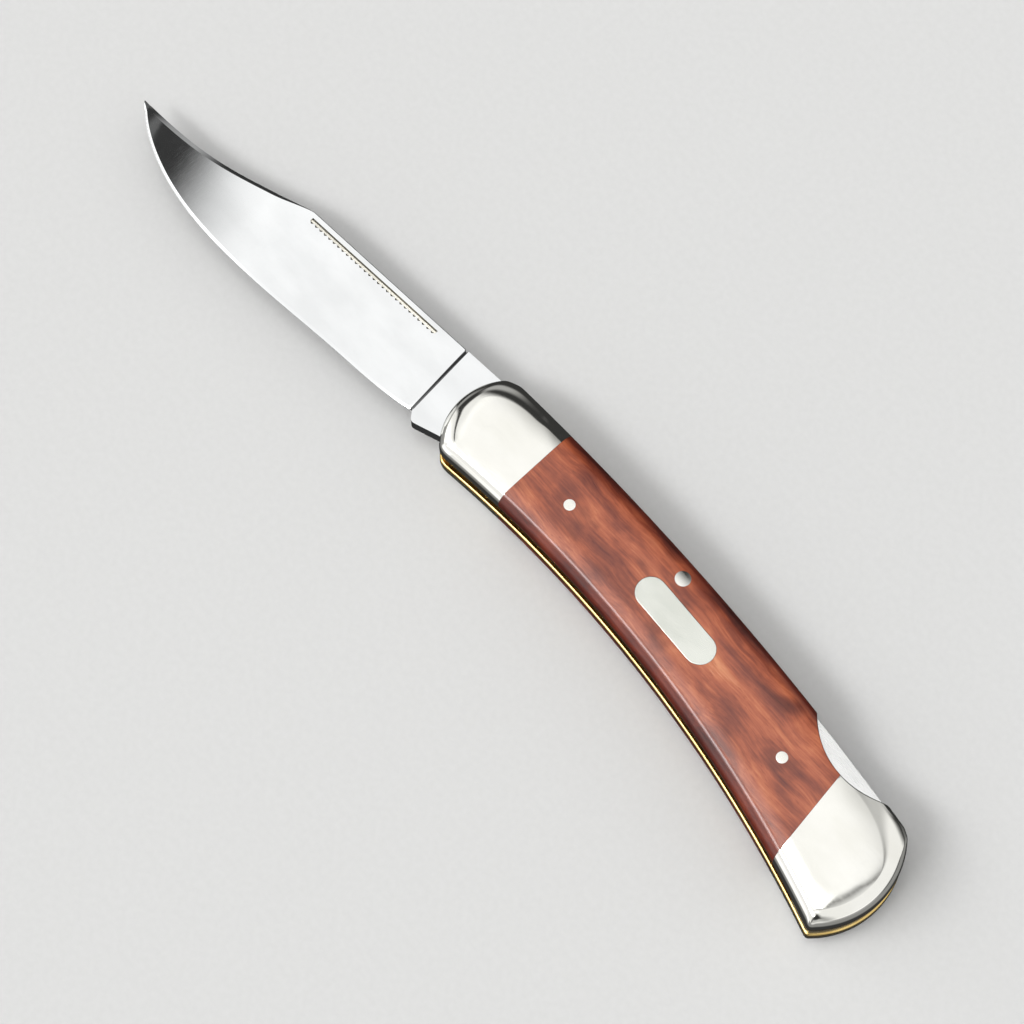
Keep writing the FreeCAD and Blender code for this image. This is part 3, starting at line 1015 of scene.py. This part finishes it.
# Blade: a clip point of stainless tool steel, flat ground from the spine, glazed and mirror polished.
# A short hollow ramp ends the grind, and a striker pull with a toothed lower side is milled near the spine.
blade_low, blade_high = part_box("blade")
tip_reach = -blade_low.x
blade_depth = 0.016
blade_middle = (blade_low.z + blade_high.z) / 2
tang_half = (blade_high.z - blade_low.z) / 2
heel_half = 0.0013
tip_half = 0.00022
behind_edge_half = 0.00018
steepest_grind_share = 0.082
grind_blend = 0.00003
edge_half = 0.00002
edge_bevel = 0.0006
taper_share = 0.45
taper_power = 4
spine_break = 0.00015
swedge_depth = 0.0009
swedge_run = 0.008
clip_blend = 0.004
plunge_half_width = 0.00045
plunge_rim_share = 0.999
plunge_climb_limit = 0.9999
plunge_overrun_share = 0.1
kick_radius = 0.001
tang_radius = 0.005
tang_flat_distance = 0.00425
tang_flat_turn = math.radians(-40.5)
shoulder_reach = 0.007
shoulder_slant = 0.00045
hook_length = 0.004
hook_gap = 0.0002
hook_face_gap = 0.00015
lock_notch_depth = 0.001
lock_notch_clearance = 0.0002
pivot_hole_radius = 0.00205
pull_drop = 0.00105
pull_height = 0.0011
pull_depth = 0.00045
pull_tooth_depth = 0.00045
pull_teeth = 28
pull_ends = 2 * pull_teeth + 1
undercut_width = 0.00022
plunge_rows = 13
plunge_line_spots = 60
spine_notch_spots = 9
tang_round_spots = 60
kick_spots = 8
edge_line_spots = 400
clip_line_spots = 200
blade_least_spacing = shortest_step / 2
pull_front_share = -0.5850
pull_rear_share = -0.2466
station_spacing = 0.0007
row_spacing = 0.0007
bevel_limit_share = 0.3
swedge_limit_share = 0.3
swedge_top_share = 0.35

# How far past its own borders each face is still reckoned, as shares of its width
flat_overrun = (-0.2, 1.2)
bevel_overrun = (0, 1.5)
swedge_overrun = (-0.5, 1.2)

# Places on the blade, as shares of its reach and its depth
plunge_spine_shares = (-0.1796, 0.5625)
plunge_edge_shares = (-0.1569, -0.3750)
kick_shares = (-0.1362, -0.5000)
tang_belly_shares = (-0.0310, -0.2500)
edge_shares = [
    (-0.1507, -0.3563),
    (-0.1672, -0.4031),
    (-0.1899, -0.4438),
    (-0.3447, -0.5813),
    (-0.4995, -0.7094),
    (-0.6543, -0.8000),
    (-0.7884, -0.7850),
    (-0.9050, -0.6230),
    (-0.9670, -0.4400),
    (-1.0000, -0.2945),
]
clip_shares = [
    (-0.5934, 0.3187),
    (-0.6750, 0.1375),
    (-0.7781, -0.0840),
    (-0.8875, -0.2290),
    (-1.0000, -0.2945),
]


def blade_place(shares):
    return np.array(shares) * (tip_reach, blade_depth)


# A smooth line through the given places, bent as a thin lath would be
def lath_line(places, count):
    places = np.array(places)
    steps = np.linalg.norm(np.diff(places, axis=0), axis=1)
    knots = np.concatenate(([0.0], np.cumsum(steps)))
    last = len(places) - 1
    matrix, pull = np.eye(last + 1), np.zeros((last + 1, 2))
    for knot in range(1, last):
        before, after = steps[knot - 1], steps[knot]
        matrix[knot, knot - 1 : knot + 2] = before, 2 * (before + after), after
        pull[knot] = (places[knot + 1] - places[knot]) / after - (places[knot] - places[knot - 1]) / before
    bends = np.linalg.solve(matrix, 6 * pull)
    along = np.linspace(0, knots[-1], count)
    span = np.clip(np.searchsorted(knots, along, side="right") - 1, 0, last - 1)
    width = steps[span][:, None]
    back = (knots[span + 1] - along)[:, None] / width
    ahead = 1 - back
    bow = (back ** 3 - back) * bends[span] + (ahead ** 3 - ahead) * bends[span + 1]
    return back * places[span] + ahead * places[span + 1] + bow * width ** 2 / 6


edge_line = lath_line([blade_place(shares) for shares in edge_shares], edge_line_spots)
clip_line = lath_line([blade_place(shares) for shares in clip_shares], clip_line_spots)
plunge_spine = blade_place(plunge_spine_shares)
plunge_edge = blade_place(plunge_edge_shares)
kick = blade_place(kick_shares)
tang_belly = blade_place(tang_belly_shares)
clip_start, blade_tip = clip_line[0], clip_line[-1]
spine_slope = (plunge_spine[1] - clip_start[1]) / (plunge_spine[0] - clip_start[0])


def edge_y(x):
    return np.interp(x, edge_line[::-1, 0], edge_line[::-1, 1])


def straight_spine_y(x):
    return clip_start[1] + spine_slope * (x - clip_start[0])


def clip_y(x):
    return np.interp(x, clip_line[::-1, 0], clip_line[::-1, 1])


def spine_y(x):
    return np.where(x > clip_start[0], straight_spine_y(x), clip_y(x))


# The spine with the corner at the start of the clip smoothed out, which the ground face follows
def soft_spine_y(x):
    run, drop = clip_line[1] - clip_start
    clip = clip_y(x) + drop / run * np.maximum(x - clip_start[0], 0)
    return soft_least(straight_spine_y(x), clip, clip_blend)


def fraction(x, start, end):
    return np.clip((x - start) / (end - start), 0, 1)


def bevel_y(x):
    return edge_y(x) + np.minimum(edge_bevel, bevel_limit_share * (spine_y(x) - edge_y(x)))


def swedge_along(x):
    return eased(fraction(x, clip_start[0], clip_start[0] - swedge_run))


def swedge_width(x, spine):
    width = spine_break + swedge_along(x) * (swedge_depth - spine_break)
    return np.minimum(width, swedge_limit_share * (spine - edge_y(x)))


def swedge_y(x):
    return spine_y(x) - swedge_width(x, spine_y(x))


# Half the blade's thickness at its spine, then on the ground flat, the edge bevel and the swedge
def spine_half(x):
    along = fraction(x, plunge_spine[0], blade_tip[0])
    taper = taper_share * along + (1 - taper_share) * along ** taper_power
    return heel_half + (tip_half - heel_half) * taper


def grown(value):
    return np.maximum(value, same_place)


def flat_half(spots):
    x, y = spots[:, 0], spots[:, 1]
    top = soft_spine_y(x) - swedge_width(x, soft_spine_y(x))
    ground = grown(top - bevel_y(x))
    share = np.clip((y - bevel_y(x)) / ground, *flat_overrun)
    behind = np.minimum(behind_edge_half, spine_half(x))
    return behind + share * soft_least(spine_half(x) - behind, steepest_grind_share * ground, grind_blend)


def bevel_half(spots):
    x, y = spots[:, 0], spots[:, 1]
    share = np.clip((y - edge_y(x)) / grown(bevel_y(x) - edge_y(x)), *bevel_overrun)
    behind = np.minimum(behind_edge_half, spine_half(x))
    return edge_half + share * (behind - edge_half)


def swedge_half(spots):
    x, y = spots[:, 0], spots[:, 1]
    share = np.clip((y - swedge_y(x)) / grown(spine_y(x) - swedge_y(x)), *swedge_overrun)
    wide = flat_half(np.stack((x, swedge_y(x)), axis=1))
    narrow = wide - spine_break + swedge_along(x) * (swedge_top_share * wide - wide + spine_break)
    return wide + share * (narrow - wide)


plunge_run = plunge_spine - plunge_edge
plunge_length = np.linalg.norm(plunge_run)
plunge_way = plunge_run / plunge_length
plunge_across = np.array((plunge_way[1], -plunge_way[0]))


def past_plunge(spots):
    return (spots - plunge_edge) @ plunge_across


# The grind ends in a hollow ramp that climbs from the ground face to the full thickness of the tang
def plunge_half(spots):
    along = np.clip((spots - plunge_edge) @ plunge_way / plunge_length, 0, 1)
    climb = np.clip(0.5 + past_plunge(spots) / plunge_half_width / 2, 0, plunge_climb_limit)
    level = behind_edge_half + along * (heel_half - behind_edge_half)
    return level + (tang_half - level) * (1 - np.sqrt(1 - climb ** 2))


def pull_half(spots):
    return flat_half(spots) - pull_depth


# The teeth slope up from the pull's floor to the blade's face
def tooth_half(spots):
    below = spine_y(spots[:, 0]) - pull_drop - spots[:, 1]
    return flat_half(spots) - pull_depth * np.clip((pull_height - below) / pull_tooth_depth, 0, 1)


def tang_face_half(spots):
    return np.full(len(spots), tang_half)


half_of = {
    "tang": tang_face_half,
    "plunge": plunge_half,
    "flat": flat_half,
    "bevel": bevel_half,
    "swedge": swedge_half,
    "pull": pull_half,
    "tooth": tooth_half,
    "undercut": pull_half,
}


def blade_face(half, up):
    def face(spots):
        slope = slope_of(half, spots)
        normals = np.concatenate((-slope, np.ones((len(spots), 1))), axis=1) * (1, 1, up)
        return blade_middle + up * half(spots), normals

    return face


def blade_faces(region):
    far_region = "flat" if region in ("pull", "tooth", "undercut") else region
    return blade_face(half_of[region], 1.0), blade_face(half_of[far_region], -1.0)


# Outline of the tang, from the spine round the lock notch, the round end and its flat, to the kick
def tang_outline():
    hook_front = -(shoulder_reach - hook_face_gap)
    hook_rear = hook_front + hook_length
    notch_level = math.sqrt((tang_radius + hook_gap) ** 2 - hook_rear ** 2) - lock_notch_depth
    notch_rear = hook_rear + lock_notch_clearance
    places = [
        np.array((-shoulder_reach, float(spine_y(-shoulder_reach)))),
        np.array((-shoulder_reach + shoulder_slant, notch_level)),
        np.array((notch_rear, notch_level)),
    ]
    first = math.acos(notch_rear / tang_radius)
    last = -math.acos(tang_belly[0] / tang_radius)
    flat_way = np.array((math.cos(tang_flat_turn), math.sin(tang_flat_turn)))
    for turn in np.linspace(first, last, tang_round_spots):
        place = tang_radius * np.array((math.cos(turn), math.sin(turn)))
        places.append(place - flat_way * max(0.0, place @ flat_way - tang_flat_distance))
    inward = [(end - kick) / np.linalg.norm(end - kick) for end in (places[-1], plunge_edge)]
    half_angle = math.acos(inward[0] @ inward[1]) / 2
    bisector = (inward[0] + inward[1]) / np.linalg.norm(inward[0] + inward[1])
    centre = kick + bisector * kick_radius / math.sin(half_angle)
    feet = [kick + way * kick_radius / math.tan(half_angle) - centre for way in inward]
    for share in np.linspace(0, 1, kick_spots):
        place = feet[0] * (1 - share) + feet[1] * share
        places.append(centre + place * kick_radius / np.linalg.norm(place))
    return places


# Outline of the striker pull: straight towards the spine, toothed towards the edge
def pull_outline():
    front_x, rear_x = pull_front_share * tip_reach, pull_rear_share * tip_reach
    ends = np.linspace(front_x, rear_x, pull_ends)
    lower = spine_y(ends) - pull_drop - pull_height
    lower[::2] += pull_tooth_depth
    upper = spine_y(ends) - pull_drop
    return np.concatenate((np.stack((ends, lower), axis=1), np.stack((ends, upper), axis=1)[::-1]))


# Plan of the blade: its outline, lines along bevel, swedge, plunge and pull, and each triangle's kind of face
def blade_plan():
    notch_turns = np.linspace(math.pi, 2 * math.pi, spine_notch_spots)
    spine_notch = plunge_spine + plunge_half_width * ways_at(notch_turns)
    spine_end = plunge_spine[0] - plunge_half_width
    spine_x = np.arange(clip_start[0] + station_spacing, spine_end, station_spacing)
    spine = np.stack((spine_x, spine_y(spine_x)), axis=1)
    edge = edge_line[edge_line[:, 0] < plunge_edge[0]]
    stretches = (spine, spine_notch, tang_outline(), [plunge_edge], edge, clip_line[-2::-1])
    blade_outline = evened(np.concatenate(stretches), blade_least_spacing, station_spacing)
    spots, edges = [], []
    add_loop(spots, edges, blade_outline)
    stations = np.arange(blade_tip[0] + station_spacing / 2, plunge_edge[0], station_spacing)
    for line in (bevel_y, swedge_y):
        add_line(spots, edges, np.stack((stations, line(stations)), axis=1))
    for x in stations:
        low, high = float(bevel_y(x)), float(swedge_y(x))
        rows = int((high - low) / row_spacing)
        spots.extend(np.array((x, low + (high - low) * (row + 1) / (rows + 1))) for row in range(rows))
        spots.append(np.array((x, (low + float(edge_y(x))) / 2)))
    reach = np.linspace(-plunge_overrun_share, 1 + plunge_overrun_share, plunge_line_spots)[:, None]
    for turn in np.linspace(0, math.pi / 2, plunge_rows):
        off = plunge_half_width * plunge_rim_share * (2 * math.sin(turn) - 1)
        add_line(spots, edges, plunge_edge + plunge_run * reach + plunge_across * off)
    pull = pull_outline()
    add_line(spots, edges, pull[:pull_ends:2])
    add_line(spots, edges, pull[pull_ends:] - (0.0, undercut_width))
    hole = circle_spots((0.0, 0.0), pivot_hole_radius, pin_steps)
    for loop in (pull, hole):
        add_loop(spots, edges, loop)
    spots, triangles = triangulate(spots, edges)
    middles = spots[triangles].mean(axis=1)
    wide = triangle_widths(spots, triangles) > same_place
    triangles = triangles[wide & inside([blade_outline], middles) & ~inside([hole], middles)]
    middles = spots[triangles].mean(axis=1)
    x, y = middles[:, 0], middles[:, 1]
    regions = np.full(len(triangles), "flat", dtype=object)
    regions[y < bevel_y(x)] = "bevel"
    regions[y > swedge_y(x)] = "swedge"
    below_spine = spine_y(x) - pull_drop - y
    in_pull = inside([pull], middles)
    regions[in_pull] = "pull"
    regions[in_pull & (below_spine > pull_height - pull_tooth_depth)] = "tooth"
    regions[in_pull & (below_spine < undercut_width)] = "undercut"
    regions[past_plunge(middles) > -plunge_rim_share * plunge_half_width] = "plunge"
    regions[past_plunge(middles) > plunge_rim_share * plunge_half_width] = "tang"
    return spots, triangles, list(regions)


mirror_steel = metal(
    "mirror_steel",
    dark=(0.78, 0.79, 0.79),
    light=(0.85, 0.86, 0.86),
    rough_low=0.025,
    rough_high=0.06,
    line_waves=(5, 0.4, 5),
    line_depth=1.2e-7,
)
pull_steel = metal(
    "milled_pull",
    dark=(0.60, 0.58, 0.51),
    light=(0.74, 0.71, 0.63),
    rough_low=0.30,
    rough_high=0.42,
    line_waves=(8, 1, 8),
    line_depth=5e-7,
)
# A near-black finish that is painted shade: it stands in for the shadow between the pull's teeth and under
# its upper wall
painted_shade_steel = metal(
    "painted_shade_cut",
    dark=(0.10, 0.095, 0.08),
    light=(0.16, 0.15, 0.12),
    rough_low=0.35,
    rough_high=0.5,
    line_waves=(6, 6, 6),
    line_depth=5e-7,
)
# The teeth and the strip under the pull's upper wall take the painted shade finish
finish_of = {region: 0 for region in half_of}
finish_of.update({"pull": 1, "tooth": 2, "undercut": 2})
blade_steels = [mirror_steel, pull_steel, painted_shade_steel]
blade = stepped_solid("polished_blade", *blade_plan(), blade_faces, blade_steels, finish_of)
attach(blade, "blade")
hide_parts("blade")


# Photo table: a plain sheet of pale, matt paper under the knife, with a faint grain.
# Far out it bends up into a round wall, so that a low view ends in paper too.
# The polished steel doesn't mirror it.
floor_half = 3.0
paper_grain_waves = (0.8, 0.8, 0.8)
paper_shades = [(0.3, (0.505, 0.505, 0.50)), (0.7, (0.525, 0.525, 0.52))]
paper_roughness = 0.8
bpy.ops.mesh.primitive_plane_add(size=2 * floor_half, location=(0, 0, cad_box[0].z))
floor = bpy.context.object
floor.name = "photo_table"
paper, paper_tree, paper_shader = node_material("pale_paper")
grain = surface_noise(paper_tree, paper_grain_waves, detail=4)
paper_tree.links.new(ramp(paper_tree, grain, paper_shades), paper_shader.inputs["Base Color"])
paper_shader.inputs["Roughness"].default_value = paper_roughness
floor.data.materials.append(paper)
floor.visible_glossy = False

sweep_start = 1.4
sweep_bend = 1.0
sweep_top = 2.5
sweep_bend_rows = 12
sweep_steps = 64
bend_turns = [math.pi / 2 * row / sweep_bend_rows for row in range(sweep_bend_rows + 1)]
sweep_line = [
    (sweep_start + sweep_bend * math.sin(turn), sweep_bend * (1 - math.cos(turn))) for turn in bend_turns
]
sweep_line.append((sweep_start + sweep_bend, sweep_top))
sweep_verts, sweep_faces = [], []
for step in range(sweep_steps):
    turn = 2 * math.pi * step / sweep_steps
    for reach, height in sweep_line:
        sweep_verts.append((reach * math.cos(turn), reach * math.sin(turn), cad_box[0].z + height))
    near, far = step * len(sweep_line), (step + 1) % sweep_steps * len(sweep_line)
    for row in range(len(sweep_line) - 1):
        sweep_faces.append((near + row, near + row + 1, far + row + 1, far + row))
sweep_mesh = bpy.data.meshes.new("paper_sweep")
sweep_mesh.from_pydata(sweep_verts, [], sweep_faces)
sweep_mesh.shade_smooth()
sweep_mesh.materials.append(paper)
sweep = bpy.data.objects.new("paper_sweep", sweep_mesh)
bpy.context.scene.collection.objects.link(sweep)
sweep.visible_glossy = False
sweep.visible_diffuse = False
sweep.visible_shadow = False


# Studio light: a large soft box overhead, weaker panels and strips on all sides, and a dim room.
# Each panel is a patch of the sky with soft borders, hung by the way in which it lies from the knife;
# one broad lamp over the table lights the paper.
world = bpy.data.worlds.new("soft_studio")
bpy.context.scene.world = world
world.use_nodes = True
sky_tree = world.node_tree
background = sky_tree.nodes["Background"]
sky_way = add_node(sky_tree, "ShaderNodeTexCoord")
sky_axes = add_node(sky_tree, "ShaderNodeSeparateXYZ")
sky_tree.links.new(sky_way.outputs["Generated"], sky_axes.inputs["Vector"])


# A soft border: nothing at the first place along the axis, full light from the second on
def border(axis, low, high):
    node = add_node(sky_tree, "ShaderNodeMapRange", interpolation_type="SMOOTHSTEP")
    node.inputs["From Min"].default_value = min(low, high)
    node.inputs["From Max"].default_value = max(low, high)
    node.inputs["To Min"].default_value = 0.0 if low < high else 1.0
    node.inputs["To Max"].default_value = 1.0 if low < high else 0.0
    sky_tree.links.new(sky_axes.outputs[axis], node.inputs["Value"])
    return node.outputs["Result"]


def combined(operation, values):
    total = values[0]
    for value in values[1:]:
        node = add_node(sky_tree, "ShaderNodeMath", operation=operation)
        for socket, source in zip(node.inputs, (total, value)):
            if isinstance(source, float):
                socket.default_value = source
            else:
                sky_tree.links.new(source, socket)
        total = node.outputs["Value"]
    return total


def panel(strength, *borders):
    return combined("MULTIPLY", [border(*place) for place in borders] + [strength])


overhead = panel(
    1.07, ("X", -0.415, -0.345), ("X", -0.01, -0.08), ("Y", -0.42, -0.10), ("Y", 0.45, 0.25), ("Z", 0.2, 0.5)
)
front_panel = panel(0.95, ("Y", -0.05, -0.40), ("X", 0.25, 0.05), ("Z", -0.02, 0.15))
belly_edge = panel(0.9, ("Y", -0.55, -0.75), ("X", -0.08, -0.16), ("Z", -0.40, -0.28), ("Z", 0.12, 0.0))
strip_light = panel(
    12.0, ("Y", -0.48, -0.57), ("Y", -0.74, -0.66), ("X", 0.20, 0.05), ("X", -0.6, -0.5), ("Z", 0.0, 0.2)
)
belly_glow = panel(
    8.0, ("X", -0.25, -0.14), ("X", -0.03, -0.08), ("Y", 0.20, 0.04), ("Y", -0.30, -0.10), ("Z", 0.2, 0.5)
)
left_panel = panel(0.9, ("X", -0.30, -0.40), ("Y", 0.05, -0.02), ("Y", -0.60, -0.40), ("Z", 0.0, 0.2))
nose_glow = panel(
    0.9, ("X", -0.33, -0.42), ("X", -0.80, -0.65), ("Y", 0.09, 0.14), ("Y", 0.45, 0.25), ("Z", 0.2, 0.5)
)
right_panel = panel(0.95, ("X", -0.05, 0.06), ("Y", -0.45, -0.25), ("Y", 1.0, 0.85), ("Z", -0.02, 0.15))
back_right = panel(0.55, ("X", -0.24, -0.08), ("X", 0.06, -0.05), ("Y", 0.30, 0.45), ("Z", -0.05, 0.1))
front_right = panel(0.55, ("X", 0.2, 0.4), ("Y", -0.3, -0.5), ("Z", -0.1, 0.0), ("Z", 0.6, 0.4))
back_left = panel(0.38, ("X", -0.3, -0.55), ("Y", 0.3, 0.5), ("Z", 0.15, 0.38), ("Z", 0.70, 0.52))
dim_strip = panel(0.10, ("X", -0.490, -0.475), ("X", -0.447, -0.460), ("Y", -0.05, 0.05), ("Y", 0.4, 0.3))
horizon = panel(0.30, ("Z", -0.20, 0.0), ("Z", 0.25, 0.05), ("Y", 0.5, 0.2))
lower_front = panel(0.25, ("Z", 0.0, -0.15), ("Z", -0.75, -0.50), ("Y", 0.40, 0.10))
lower_back = panel(0.25, ("Z", 0.0, -0.15), ("Z", -0.75, -0.50), ("Y", 0.10, 0.40), ("X", 0.0, 0.4))
room = 0.04
panels = [
    overhead,
    front_panel,
    belly_edge,
    strip_light,
    belly_glow,
    left_panel,
    right_panel,
    back_right,
    nose_glow,
    front_right,
    back_left,
    dim_strip,
    horizon,
    lower_front,
    lower_back,
]
light = combined("ADD", panels + [room])
sky_tree.links.new(light, background.inputs["Strength"])
background.inputs["Color"].default_value = (1, 1, 1, 1)

lamp_place = (-0.15, -0.15, 1.2)
lamp_size = 1.4
lamp_power = 1.5
lamp_data = bpy.data.lights.new("table_lamp", "AREA")
lamp_data.energy = lamp_power
lamp_data.size = lamp_size
lamp = bpy.data.objects.new("table_lamp", lamp_data)
lamp.location = lamp_place
lamp.rotation_mode = "QUATERNION"
lamp.rotation_quaternion = (-lamp.location).to_track_quat("-Z", "Y")
lamp.visible_glossy = False
bpy.context.scene.collection.objects.link(lamp)


# Camera: a long lens on a stand, high above the knife, looking down steeply from the belly's side.
# It stands and looks so that tip, pins and butt fall where they do in the photograph.
camera_target = Vector((0.0137, -0.0063, 0.0130))
camera_azimuth = math.radians(50)
camera_elevation = math.radians(70)
camera_distance = 0.650
camera_sensor = 36.0
camera_lens = 126.8
camera_near = 0.01
camera_far = 20
camera_back = Vector(
    (
        math.sin(camera_azimuth) * math.cos(camera_elevation),
        -math.cos(camera_azimuth) * math.cos(camera_elevation),
        math.sin(camera_elevation),
    )
)
camera_data = bpy.data.cameras.new("photo_camera")
camera_data.sensor_width = camera_sensor
camera_data.lens = camera_lens
camera_data.clip_start = camera_near
camera_data.clip_end = camera_far
camera = bpy.data.objects.new("photo_camera", camera_data)
camera.location = camera_target + camera_distance * camera_back
camera.rotation_mode = "QUATERNION"
camera.rotation_quaternion = (-camera_back).to_track_quat("-Z", "Y")
bpy.context.scene.collection.objects.link(camera)
bpy.context.scene.camera = camera
bpy.context.scene.view_settings.view_transform = "Standard"
